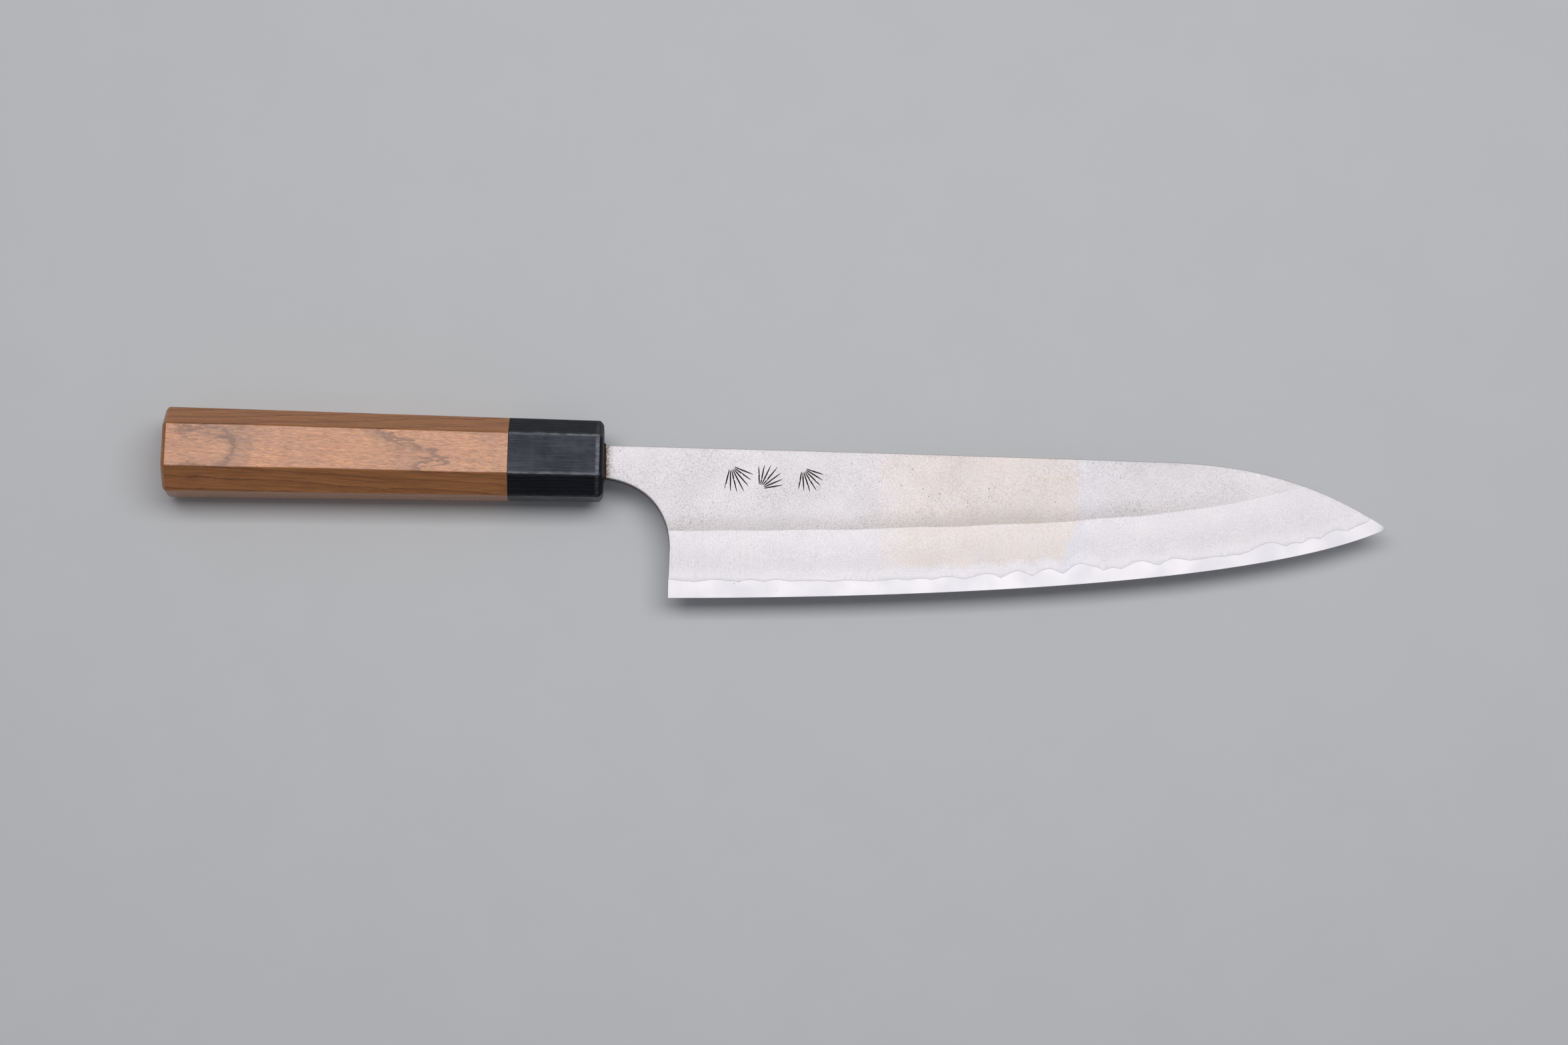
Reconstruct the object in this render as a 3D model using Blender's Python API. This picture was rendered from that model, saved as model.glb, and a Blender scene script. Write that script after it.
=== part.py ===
"""Japanese chef knife (gyuto) with an octagonal two-piece handle, at real size.

The knife lies flat: +X runs along the handle's axis to the tip, +Y points to the
spine and +Z out of the blade's right side. Shapes are drawn in millimetres in the
knife's own frame, whose X = 0 is the front face of the ferrule on the handle's
axis. An empty then carries every piece so that the middle of the whole knife's
underside is at the scene's origin.

The blade is a three-layer laminate: a hard core between two softer claddings, ground
back near the edge so that the core shows below a wandering lamination line.
"""

import math

import bmesh
import bpy
import numpy as np
from mathutils import Vector
from mathutils.geometry import delaunay_2d_cdt

MM = 0.001

# Handle, an octagon that tapers from the butt to the ferrule's front face.
HANDLE_LENGTH = 126.8
FERRULE_LENGTH = 27.5
BUTT_WIDTH, BUTT_THICKNESS, BUTT_CORNER = 24.9, 21.1, 6.05
FRONT_WIDTH, FRONT_THICKNESS, FRONT_CORNER = 22.7, 17.9, 5.35
BUTT_BEVEL = 1.0
FERRULE_BEVEL = 1.2
GLUE_LINE = 0.05

# Slotted dowel that joins the ferrule to the handle body.
DOWEL_RADIUS = 6.9
DOWEL_FRONT, DOWEL_BACK = -9.7, -89.5
DOWEL_SLOT_END = -88.0
BORE_RADIUS = 7.15
FERRULE_BORE_END = -9.5
BODY_BORE_END = -90.5
ROUND_SEGMENTS = 48

# Slot for the tang: lowest and highest Y, and half its width in Z.
FERRULE_SLOT = (-6.0, 5.2, 2.4)
DOWEL_SLOT = (-5.6, 4.8, 2.2)
RESIN_CLEARANCE = 0.1
SEAL_DEPTH = 4.1
SEAL_PROUD = 0.9
SEAL_LIP = 0.35

# Blade outline, as the control points of cubic curves.
SPINE_REAR = [(0.0, 4.5), (55.0, 4.4), (110.0, 4.0), (160.0, 3.43)]
SPINE_FRONT = [(160.0, 3.43), (172.0, 3.26), (202.0, 4.35), (229.7, -14.9)]
EDGE = [(19.6, -40.0), (73.0, -38.9), (189.5, -34.2), (229.6, -15.2)]
CHOIL = [(0.0, -5.2), (16.5, -6.9), (19.6, -19.0), (19.6, -26.0)]
RIDGE = [(18.0, -20.4), (90.0, -18.5), (168.0, -16.0), (206.0, -2.9)]
TANG_LENGTH = 87.0
TANG_END_TOP, TANG_END_BOTTOM, TANG_END_CUT = 2.5, -2.9, 3.0

# Blade section. Half thicknesses are planes: value at the origin, then change per
# millimetre along X and along Y.
SIDE_PLANE = (1.53, -0.0045, 0.0167)
CORE_PLANE = (0.38, -0.0009, 0.0055)
TANG_START = -2.5
TANG_END_RATIO = 0.5
EDGE_HALF = 0.03
BEVEL_CONVEXITY = 0.3
LAMINATE_GAP = 0.02

# Lamination line: height over the edge at the heel and from LINE_SETTLED on, and two
# waves of it (height, length, shift). The core has a small step there.
LINE_REAR_HEIGHT, LINE_HEIGHT, LINE_SETTLED = 5.0, 4.3, 75.0
LINE_WAVES = [(0.50, 29.0, 4.0), (0.45, 13.5, 1.0)]
LINE_STEP = 0.06
LINE_GAP = 0.1
LINE_END_SEARCH, LINE_END_STEP = 215.0, 0.02

# How finely curves are cut into straight stretches.
SPINE_REAR_POINTS, SPINE_FRONT_POINTS = 12, 40
EDGE_COUNT, CHOIL_COUNT, RIDGE_COUNT = 72, 20, 64
STATION_SPACING = 3.0
BEVEL_SHARES = (0.45, 0.72)
WELD_DISTANCE = 1e-4
LEAST_HEIGHT = 0.01
TIP_CLEARANCE = 0.2
OVERSHOOT = 1.5
SMOOTH_ANGLE = math.radians(40)


def curve_points(control, count):
    """Points along one cubic curve, both ends included."""
    t = np.linspace(0.0, 1.0, count)[:, None]
    a, b, c, d = np.array(control)
    return (1 - t) ** 3 * a + 3 * (1 - t) ** 2 * t * b + 3 * (1 - t) * t**2 * c + t**3 * d


SPINE_START = curve_points(SPINE_REAR, SPINE_REAR_POINTS)
SPINE = np.vstack([SPINE_START, curve_points(SPINE_FRONT, SPINE_FRONT_POINTS)[1:]])
EDGE_POINTS = curve_points(EDGE, EDGE_COUNT)
CHOIL_POINTS = curve_points(CHOIL, CHOIL_COUNT)
RIDGE_POINTS = curve_points(RIDGE, RIDGE_COUNT)


def height_on(points, x):
    """Y of a curve at x."""
    return float(np.interp(x, points[:, 0], points[:, 1]))


def plane_value(plane, x, y):
    """A half thickness given as a plane, at one place."""
    return plane[0] + plane[1] * x + plane[2] * y


def ridge_height(x):
    """Y of the line where the flat side turns into the ground bevel."""
    return min(height_on(RIDGE_POINTS, x), height_on(SPINE, x))


def side_half(x, y):
    """Half thickness of the whole blade or tang at one place."""
    if x < TANG_START:
        along = (TANG_START - x) / (TANG_START + TANG_LENGTH)
        return plane_value(SIDE_PLANE, TANG_START, y) * (1 - along * (1 - TANG_END_RATIO))
    ridge = ridge_height(x)
    if y >= ridge:
        return plane_value(SIDE_PLANE, x, y)
    bottom = height_on(EDGE_POINTS, x)
    t = max(0.0, min(1.0, (y - bottom) / max(ridge - bottom, LEAST_HEIGHT)))
    rise = t * (1 + BEVEL_CONVEXITY * (1 - t))
    return EDGE_HALF + (plane_value(SIDE_PLANE, x, ridge) - EDGE_HALF) * rise


def line_height(x):
    """Y of the lamination line."""
    waves = sum(high * math.sin(math.tau * (x - shift) / long) for high, long, shift in LINE_WAVES)
    level = float(np.interp(x, (EDGE[0][0], LINE_SETTLED), (LINE_REAR_HEIGHT, LINE_HEIGHT)))
    return height_on(EDGE_POINTS, x) + level + waves


def line_points(raised, overshoot):
    """The lamination line, moved up a little, from the choil to where it meets the spine near the tip."""
    start = EDGE[0][0]
    candidates = np.arange(LINE_END_SEARCH, EDGE[3][0], LINE_END_STEP)
    end = next(x for x in candidates if line_height(x) + raised > height_on(SPINE, x))
    xs = np.linspace(start, end, round((end - start) / STATION_SPACING))
    points = [Vector((x, line_height(x) + raised)) for x in xs[:-1]]
    points.append(Vector((end, height_on(SPINE, end))))
    if overshoot:
        points[-1] += (points[-1] - points[-2]).normalized() * overshoot
        points.insert(0, points[0] - Vector((overshoot, 0.0)))
    return points


def bevel_line(share):
    """A line along the bevel, at a share of the way up from the edge to the ridge."""
    xs = np.arange(EDGE[0][0] - OVERSHOOT, LINE_END_SEARCH, STATION_SPACING)
    bottoms = [height_on(EDGE_POINTS, x) for x in xs]
    return [(x, low + share * (ridge_height(x) - low)) for x, low in zip(xs, bottoms)]


def tang_outline():
    """The tang from the neck's top, round its end, to the neck's bottom."""
    end = -TANG_LENGTH
    return [
        (TANG_START, height_on(SPINE, 0.0)),
        (end + TANG_END_CUT, TANG_END_TOP),
        (end, TANG_END_TOP - TANG_END_CUT / 2),
        (end, TANG_END_BOTTOM + TANG_END_CUT / 2),
        (end + TANG_END_CUT, TANG_END_BOTTOM),
        (TANG_START, CHOIL[0][1]),
    ]


def new_material(name, colour, roughness, metallic):
    material = bpy.data.materials.new(name)
    material.use_nodes = True
    shader = material.node_tree.nodes["Principled BSDF"]
    shader.inputs["Base Color"].default_value = (*colour, 1.0)
    shader.inputs["Roughness"].default_value = roughness
    shader.inputs["Metallic"].default_value = metallic
    return material


def new_object(name, mesh, carrier, material=None):
    obj = bpy.data.objects.new(name, mesh)
    bpy.context.scene.collection.objects.link(obj)
    obj.parent = carrier
    if material:
        mesh.materials.append(material)
    return obj


def mesh_from(name, vertices, faces):
    """A mesh of vertices given in millimetres, its faces all pointing out."""
    mesh = bpy.data.meshes.new(name)
    mesh.from_pydata([Vector(v) * MM for v in vertices], [], faces)
    shape = bmesh.new()
    shape.from_mesh(mesh)
    bmesh.ops.recalc_face_normals(shape, faces=shape.faces)
    shape.to_mesh(mesh)
    shape.free()
    return mesh


def plate_mesh(name, outline, creases, bottom, top):
    """A closed plate over an outline, its two faces at the heights bottom(x, y) and top(x, y)."""
    points = [Vector(p) for p in outline]
    border = [list(range(len(points)))]
    folds = []
    for crease in creases:
        first = len(points)
        points += [Vector(p) for p in crease]
        folds += [(i, i + 1) for i in range(first, len(points) - 1)]
    flat, _, triangles, *_ = delaunay_2d_cdt(points, folds, border, 1, WELD_DISTANCE)
    kept = sorted({i for t in triangles for i in t})
    flat = [flat[i] for i in kept]
    triangles = [[kept.index(i) for i in t] for t in triangles]
    count = len(flat)
    vertices = [(x, y, top(x, y)) for x, y in flat] + [(x, y, bottom(x, y)) for x, y in flat]
    faces = [tuple(t) for t in triangles]
    sides = {(t[i], t[(i + 1) % 3]) for t in faces for i in range(3)}
    walls = [(b, a, a + count, b + count) for a, b in sides if (b, a) not in sides]
    faces += [tuple(i + count for i in reversed(t)) for t in triangles]
    return mesh_from(name, vertices, faces + walls)


def loft_mesh(name, rings):
    """A closed body through a row of rings with equal numbers of points."""
    size = len(rings[0])
    last = size * (len(rings) - 1)
    faces = [tuple(range(size)), tuple(range(last + size - 1, last - 1, -1))]
    for r in range(len(rings) - 1):
        for i in range(size):
            j = (i + 1) % size
            faces.append((r * size + i, (r + 1) * size + i, (r + 1) * size + j, r * size + j))
    return mesh_from(name, [point for ring in rings for point in ring], faces)


def handle_section(x):
    """Width, thickness and corner size of the handle's section at x."""
    share = -x / HANDLE_LENGTH
    front = (FRONT_WIDTH, FRONT_THICKNESS, FRONT_CORNER)
    butt = (BUTT_WIDTH, BUTT_THICKNESS, BUTT_CORNER)
    return [a + (b - a) * share for a, b in zip(front, butt)]


def octagon_ring(x, inset):
    """The handle's eight-sided section at x, moved in by a bevel."""
    width, thickness, corner = handle_section(x)
    corner -= inset * (2 - math.sqrt(2))
    y, z = width / 2 - inset, thickness / 2 - inset
    quarter = [(y, z - corner), (y - corner, z)]
    turned = [(-b, c) for b, c in reversed(quarter)]
    half = quarter + turned
    return [(x, b, c) for b, c in half + [(-b, -c) for b, c in half]]


def rectangle_ring(x, slot, grow=0.0):
    """A four-sided section at x: slot is (lowest Y, highest Y, half width in Z)."""
    low, high, half = slot[0] - grow, slot[1] + grow, slot[2] + grow
    return [(x, low, -half), (x, high, -half), (x, high, half), (x, low, half)]


def round_mesh(name, start, end, radius):
    """A round bar along the handle's axis, with smooth sides and sharp ends."""
    half_step = math.pi / ROUND_SEGMENTS
    angles = [math.tau * i / ROUND_SEGMENTS + half_step for i in range(ROUND_SEGMENTS)]
    section = [(radius * math.cos(a), radius * math.sin(a)) for a in angles]
    mesh = loft_mesh(name, [[(x, y, z) for y, z in section] for x in (start, end)])
    mesh.shade_smooth()
    mesh.set_sharp_from_angle(angle=SMOOTH_ANGLE)
    return mesh


def cut_away(obj, mesh, carrier):
    """Takes a cutter's shape out of an object."""
    cutter = new_object(mesh.name, mesh, carrier)
    cutter.hide_render = True
    cutter.display_type = "WIRE"
    modifier = obj.modifiers.new(mesh.name, "BOOLEAN")
    modifier.operation = "DIFFERENCE"
    modifier.solver = "EXACT"
    modifier.object = cutter


def make_core(carrier):
    def top(x, y):
        if y > line_height(x) + LINE_STEP / 2:
            return plane_value(CORE_PLANE, x, y)
        return side_half(x, y)

    outline = [*SPINE[::-1], *tang_outline(), *CHOIL_POINTS, *EDGE_POINTS]
    creases = [line_points(0.0, OVERSHOOT), line_points(LINE_STEP, OVERSHOOT)]
    mesh = plate_mesh("blade_core", outline, creases, lambda x, y: -top(x, y), top)
    material = new_material("core_steel", (0.80, 0.80, 0.81), 0.22, 1.0)
    return new_object("blade_core", mesh, carrier, material)


def make_cladding(carrier, name, side):
    """One of the two outer layers: side is 1 for the right one and -1 for the left one."""

    def outer(x, y):
        return side * side_half(x, y)

    def inner(x, y):
        return side * (plane_value(CORE_PLANE, x, y) + LAMINATE_GAP)

    lower = line_points(LINE_GAP, 0.0)
    spine = [p for p in SPINE[::-1] if p[0] < lower[-1][0] - TIP_CLEARANCE]
    outline = [*spine, *tang_outline(), *CHOIL_POINTS, *lower]
    ridge = [*RIDGE_POINTS, (RIDGE[3][0] + OVERSHOOT, RIDGE[3][1] + OVERSHOOT)]
    creases = [ridge, *map(bevel_line, BEVEL_SHARES)]
    faces = (inner, outer) if side > 0 else (outer, inner)
    mesh = plate_mesh(name, outline, creases, *faces)
    material = new_material(name + "_steel", (0.62, 0.61, 0.61), 0.42, 1.0)
    return new_object(name, mesh, carrier, material)


def make_ferrule(carrier):
    back = -FERRULE_LENGTH
    rings = [octagon_ring(0.0, FERRULE_BEVEL), octagon_ring(-FERRULE_BEVEL, 0.0), octagon_ring(back, 0.0)]
    material = new_material("black_ferrule", (0.012, 0.013, 0.016), 0.38, 0.0)
    ferrule = new_object("ferrule", loft_mesh("ferrule", rings), carrier, material)
    bore = round_mesh("ferrule_bore", back - OVERSHOOT, FERRULE_BORE_END, BORE_RADIUS)
    cut_away(ferrule, bore, carrier)
    slot = [rectangle_ring(x, FERRULE_SLOT) for x in (FERRULE_BORE_END - OVERSHOOT, OVERSHOOT)]
    cut_away(ferrule, loft_mesh("ferrule_slot", slot), carrier)


def make_handle_body(carrier):
    front, back = -FERRULE_LENGTH - GLUE_LINE, -HANDLE_LENGTH
    rings = [octagon_ring(front, 0.0), octagon_ring(back + BUTT_BEVEL, 0.0), octagon_ring(back, BUTT_BEVEL)]
    material = new_material("cherry_wood", (0.33, 0.16, 0.085), 0.45, 0.0)
    body = new_object("handle_body", loft_mesh("handle_body", rings), carrier, material)
    bore = round_mesh("body_bore", BODY_BORE_END, front + OVERSHOOT, BORE_RADIUS)
    cut_away(body, bore, carrier)


def make_dowel(carrier):
    material = new_material("dowel_wood", (0.50, 0.36, 0.22), 0.6, 0.0)
    bar = round_mesh("dowel", DOWEL_BACK, DOWEL_FRONT, DOWEL_RADIUS)
    dowel = new_object("dowel", bar, carrier, material)
    slot = [rectangle_ring(x, DOWEL_SLOT) for x in (DOWEL_SLOT_END, DOWEL_FRONT + OVERSHOOT)]
    cut_away(dowel, loft_mesh("dowel_slot", slot), carrier)


def tang_clearance(name, front):
    """The tang's tapered shape, a little larger all round, from its end to a place in front."""
    top, bottom = height_on(SPINE, 0.0), CHOIL[0][1]
    neck_half = plane_value(SIDE_PLANE, TANG_START, top)
    end = (TANG_END_BOTTOM, TANG_END_TOP, neck_half * TANG_END_RATIO)
    neck = (bottom, top, neck_half)
    rings = [
        rectangle_ring(-TANG_LENGTH - RESIN_CLEARANCE, end, RESIN_CLEARANCE),
        rectangle_ring(-TANG_LENGTH + TANG_END_CUT, end, RESIN_CLEARANCE),
        rectangle_ring(TANG_START, neck, RESIN_CLEARANCE),
        rectangle_ring(front, neck, RESIN_CLEARANCE),
    ]
    return loft_mesh(name, rings)


def make_tang_adhesive(carrier):
    back, front = DOWEL_SLOT_END + RESIN_CLEARANCE, -SEAL_DEPTH - RESIN_CLEARANCE
    rings = [rectangle_ring(x, DOWEL_SLOT, -RESIN_CLEARANCE) for x in (back, front)]
    material = new_material("epoxy", (0.36, 0.27, 0.12), 0.35, 0.0)
    resin = new_object("tang_adhesive", loft_mesh("tang_adhesive", rings), carrier, material)
    cut_away(resin, tang_clearance("adhesive_cavity", OVERSHOOT), carrier)


def make_mouth_seal(carrier):
    rings = [
        rectangle_ring(-SEAL_DEPTH, FERRULE_SLOT, -RESIN_CLEARANCE),
        rectangle_ring(RESIN_CLEARANCE, FERRULE_SLOT, -RESIN_CLEARANCE),
        rectangle_ring(RESIN_CLEARANCE, FERRULE_SLOT, SEAL_LIP),
        rectangle_ring(SEAL_PROUD, FERRULE_SLOT, -SEAL_LIP),
    ]
    material = new_material("seal_resin", (0.045, 0.022, 0.012), 0.4, 0.0)
    seal = new_object("mouth_seal", loft_mesh("mouth_seal", rings), carrier, material)
    cut_away(seal, tang_clearance("seal_cavity", SEAL_PROUD + OVERSHOOT), carrier)


def make_carrier():
    """The empty at the handle's axis that puts the underside's middle at the origin."""
    carrier = bpy.data.objects.new("knife_frame", None)
    bpy.context.scene.collection.objects.link(carrier)
    width, thickness, _ = handle_section(BUTT_BEVEL - HANDLE_LENGTH)
    tip, heel = SPINE_FRONT[3][0], EDGE[0][1]
    carrier.location = Vector((HANDLE_LENGTH - tip, -heel - width / 2, thickness)) / 2 * MM
    return carrier


def main():
    for obj in list(bpy.data.objects):
        bpy.data.objects.remove(obj, do_unlink=True)
    carrier = make_carrier()
    make_core(carrier)
    make_cladding(carrier, "cladding_right", 1)
    make_cladding(carrier, "cladding_left", -1)
    make_ferrule(carrier)
    make_handle_body(carrier)
    make_dowel(carrier)
    make_tang_adhesive(carrier)
    make_mouth_seal(carrier)


main()
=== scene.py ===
"""Looks of the octagonal-handled chef knife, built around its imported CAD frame.

Shapes are drawn in millimetres in the knife's own frame: its origin is the middle of
the ferrule's front face, +X points to the tip, +Y to the spine and +Z out of the
blade's right side. KNIFE is where that origin lies in the scene, in metres.
"""

import math

import bmesh
import bpy
import numpy as np
from mathutils import Matrix, Vector, noise
from mathutils.geometry import delaunay_2d_cdt


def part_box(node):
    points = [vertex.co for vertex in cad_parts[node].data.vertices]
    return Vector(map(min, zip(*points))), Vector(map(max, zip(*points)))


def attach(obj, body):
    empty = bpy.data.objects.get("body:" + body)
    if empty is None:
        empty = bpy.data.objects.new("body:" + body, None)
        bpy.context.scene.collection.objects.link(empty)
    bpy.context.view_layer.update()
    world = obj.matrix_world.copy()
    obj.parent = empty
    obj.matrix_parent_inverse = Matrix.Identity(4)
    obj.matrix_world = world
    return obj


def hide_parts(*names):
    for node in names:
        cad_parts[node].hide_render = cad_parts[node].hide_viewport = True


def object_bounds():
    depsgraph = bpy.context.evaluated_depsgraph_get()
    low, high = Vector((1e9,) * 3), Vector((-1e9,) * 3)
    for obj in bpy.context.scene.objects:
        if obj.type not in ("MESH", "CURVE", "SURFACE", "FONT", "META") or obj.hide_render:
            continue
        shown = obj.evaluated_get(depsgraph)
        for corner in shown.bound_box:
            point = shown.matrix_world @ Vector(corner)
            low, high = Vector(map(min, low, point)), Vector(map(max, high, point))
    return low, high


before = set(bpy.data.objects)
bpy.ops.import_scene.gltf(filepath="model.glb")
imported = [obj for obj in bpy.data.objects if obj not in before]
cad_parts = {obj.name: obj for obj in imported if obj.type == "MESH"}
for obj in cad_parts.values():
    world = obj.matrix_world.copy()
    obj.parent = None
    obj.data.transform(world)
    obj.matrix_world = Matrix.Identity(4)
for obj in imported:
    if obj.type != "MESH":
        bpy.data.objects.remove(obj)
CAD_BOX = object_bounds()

MM = 0.001
BODY = "root"

FERRULE_LOW, FERRULE_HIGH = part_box("ferrule")
BODY_LOW, BODY_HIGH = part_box("handle_body")
KNIFE = Vector((
    FERRULE_HIGH.x,
    (FERRULE_LOW.y + FERRULE_HIGH.y) / 2,
    (FERRULE_LOW.z + FERRULE_HIGH.z) / 2,
))

# The blade's outline and ridge, as control points of cubic curves.
SPINE_REAR = [(0.0, 4.5), (55.0, 4.4), (110.0, 4.0), (160.0, 3.43)]
SPINE_FRONT = [(160.0, 3.43), (172.0, 3.26), (202.0, 4.35), (229.7, -14.9)]
EDGE = [(19.6, -40.0), (73.0, -38.9), (189.5, -34.2), (229.6, -15.2)]
CHOIL = [(0.0, -5.2), (16.5, -6.9), (19.6, -19.0), (19.6, -26.0)]
RIDGE = [(18.0, -20.4), (90.0, -18.5), (168.0, -16.0), (206.0, -2.9)]
TANG_START, TANG_LENGTH = -2.5, 87.0
TANG_END_TOP, TANG_END_BOTTOM, TANG_END_CUT = 2.5, -2.9, 3.0
TANG_END_RATIO = 0.5

# Half thickness as a + b * x + c * y, of the whole blade's flat part and of the core.
SIDE_PLANE = (1.53, -0.0045, 0.0167)
CORE_PLANE = (0.38, -0.0009, 0.0055)
EDGE_HALF = 0.03
BEVEL_CONVEXITY = 0.3
LAMINATE_GAP = 0.02

# Waves are (height, length, seed). The ridge and the lamination line wander as grinding
# and forging left them, the line more strongly towards the tip.
RIDGE_WAVES = ((0.34, 16, 3.1), (0.06, 3, 7.7))
LINE_WAVES = ((0.35, 4.1, 5.2), (0.12, 1.2, 8.4))
LINE_HEIGHT, LINE_SINK, LINE_SINKING = 5.2, 0.9, (30, 75)
HUMP_LENGTH, HUMP_HEIGHT, HUMP_FOOT, HUMP_SEED = 9.0, 3.4, 0.25, 1.7
REAR_SHARE, HUMPS_GROWING = 0.35, (75, 125)
LINE_STEP = 0.03
LINE_GAP = 0.03
LINE_SEARCH, SEARCH_STEP = 215.0, 0.02
LINE_COUNT = 420

SPINE_ROUND, CHOIL_ROUND, HEEL_ROUND, LEAST_ROUND = 0.22, 0.5, 0.3, 0.02
THINNEST_ROUND, ROUND_SHARE, ROUND_STEPS = 0.01, 0.6, 4
FILL_SPACING = 1.6
MERGE_DISTANCE = 1e-4
CORE_ROWS, CORE_ROW_STEP, CORE_ROWS_END = (0.8, 1.6, 2.4), 1.2, 224.0
RIDGE_STEP, RIDGE_END = 0.8, 206.0

# The ridge is kept sharp over this stretch of X, where edges lie this near to it. Elsewhere
# edges are sharp above an angle, in degrees.
CREASE_REACH, CREASE_SLACK, BLADE_CREASE = (18, 205), 0.004, 14

# Three chiselled fans of needles: each is (x, y, facing in degrees, needles, reach).
FANS = [(37.0, -0.6, -62, 7, 9.0), (45.6, -7.4, 52, 7, 8.6), (58.0, -0.8, -58, 7, 8.2)]
FAN_SPREAD, FAN_ROUNDNESS, FAN_HOLE = 82, 0.18, 1.1
NEEDLE_HALF, NEEDLE_DEPTH, NEEDLE_STEPS = 0.24, 0.10, 8


# ---------------------------------------------------------------- curves and surfaces


def curve_points(control, count):
    """Points along one cubic curve, both ends included."""
    t = np.linspace(0.0, 1.0, count)[:, None]
    a, b, c, d = np.array(control)
    return (1 - t) ** 3 * a + 3 * (1 - t) ** 2 * t * b + 3 * (1 - t) * t**2 * c + t**3 * d


SPINE = np.vstack([curve_points(SPINE_REAR, 120), curve_points(SPINE_FRONT, 120)[1:]])
EDGE_POINTS = curve_points(EDGE, 300)
CHOIL_POINTS = curve_points(CHOIL, 60)
RIDGE_POINTS = curve_points(RIDGE, 200)


def height_on(points, x):
    """Y of a curve at x."""
    return float(np.interp(x, points[:, 0], points[:, 1]))


def plane_value(plane, x, y):
    """The half thickness that a plane gives at one place."""
    return plane[0] + plane[1] * x + plane[2] * y


def wavering(x, length, seed):
    """A smooth random value along the blade, from -1 to 1, whose waves are about length long."""
    return noise.noise(Vector((x / length, seed, 0.5 * seed)))


def waves(x, parts):
    """The sum of several waverings."""
    return sum(height * wavering(x, length, seed) for height, length, seed in parts)


def share_between(x, low, high):
    """0 up to low, 1 from high on, and eased between."""
    t = max(0.0, min(1.0, (x - low) / (high - low)))
    return t * t * (3 - 2 * t)


def ridge_height(x):
    """Y of the line where the flat side turns into the ground bevel, a little uneven."""
    return min(height_on(RIDGE_POINTS, x) + waves(x, RIDGE_WAVES), height_on(SPINE, x))


def side_half(x, y):
    """Half thickness of the whole blade or tang at one place."""
    if x < TANG_START:
        along = (TANG_START - x) / (TANG_START + TANG_LENGTH)
        return plane_value(SIDE_PLANE, TANG_START, y) * (1 - along * (1 - TANG_END_RATIO))
    ridge = ridge_height(x)
    if y >= ridge:
        return plane_value(SIDE_PLANE, x, y)
    bottom = height_on(EDGE_POINTS, x)
    t = max(0.0, min(1.0, (y - bottom) / max(ridge - bottom, 0.01)))
    rise = t * (1 + BEVEL_CONVEXITY * (1 - t))
    return EDGE_HALF + (plane_value(SIDE_PLANE, x, ridge) - EDGE_HALF) * rise


def line_height(x):
    """Y of the lamination line: rounded humps with sharp dips between them."""
    swing = REAR_SHARE + (1 - REAR_SHARE) * share_between(x, *HUMPS_GROWING)
    humps = HUMP_HEIGHT * (abs(wavering(x, HUMP_LENGTH, HUMP_SEED)) - HUMP_FOOT)
    base = height_on(EDGE_POINTS, x) + LINE_HEIGHT - LINE_SINK * share_between(x, *LINE_SINKING)
    return base + swing * humps + waves(x, LINE_WAVES)


def line_points(raised, overshoot):
    """The lamination line, raised a little, from the heel to where it meets the spine near the tip.

    overshoot lengthens it past both ends, so that it crosses the outline.
    """
    places = np.arange(LINE_SEARCH, EDGE[3][0], SEARCH_STEP)
    end = next(x for x in places if line_height(x) + raised > height_on(SPINE, x))
    xs = np.linspace(EDGE[0][0], end, LINE_COUNT)
    points = [Vector((x, line_height(x) + raised)) for x in xs[:-1]]
    points.append(Vector((end, height_on(SPINE, end))))
    if overshoot:
        points[-1] += (points[-1] - points[-2]).normalized() * overshoot
        points.insert(0, points[0] - Vector((overshoot, 0.0)))
    return points


def tang_outline():
    """The tang from the neck's top, round its end, to the neck's bottom."""
    end = -TANG_LENGTH
    return [
        (TANG_START, height_on(SPINE, 0.0)),
        (end + TANG_END_CUT, TANG_END_TOP),
        (end, TANG_END_TOP - TANG_END_CUT / 2),
        (end, TANG_END_BOTTOM + TANG_END_CUT / 2),
        (end + TANG_END_CUT, TANG_END_BOTTOM),
        (TANG_START, CHOIL[0][1]),
    ]


# ---------------------------------------------------------------- mesh helpers


def new_piece(name, vertices, faces, replaced):
    """A piece from vertices in millimetres in the knife's frame, which stands for a CAD node."""
    mesh = bpy.data.meshes.new(name)
    mesh.from_pydata([Vector(v) * MM for v in vertices], [], faces)
    shape = bmesh.new()
    shape.from_mesh(mesh)
    bmesh.ops.recalc_face_normals(shape, faces=shape.faces)
    shape.to_mesh(mesh)
    shape.free()
    mesh.shade_smooth()
    obj = bpy.data.objects.new(name, mesh)
    bpy.context.scene.collection.objects.link(obj)
    obj.location = KNIFE
    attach(obj, BODY)
    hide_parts(replaced)
    return obj


def add_values(obj, name, value):
    """Stores value(x, y), in millimetres, on each vertex of a piece for its material to read."""
    layer = obj.data.attributes.new(name, "FLOAT", "POINT")
    layer.data.foreach_set("value", [value(v.co.x / MM, v.co.y / MM) for v in obj.data.vertices])


def fill_points(low, high):
    """A staggered grid of points over the blade."""
    points = []
    for row, y in enumerate(np.arange(low[1], high[1], FILL_SPACING)):
        shift = FILL_SPACING / 2 if row % 2 else 0.0
        points += [(x + shift, y) for x in np.arange(low[0], high[0], FILL_SPACING)]
    return points


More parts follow.
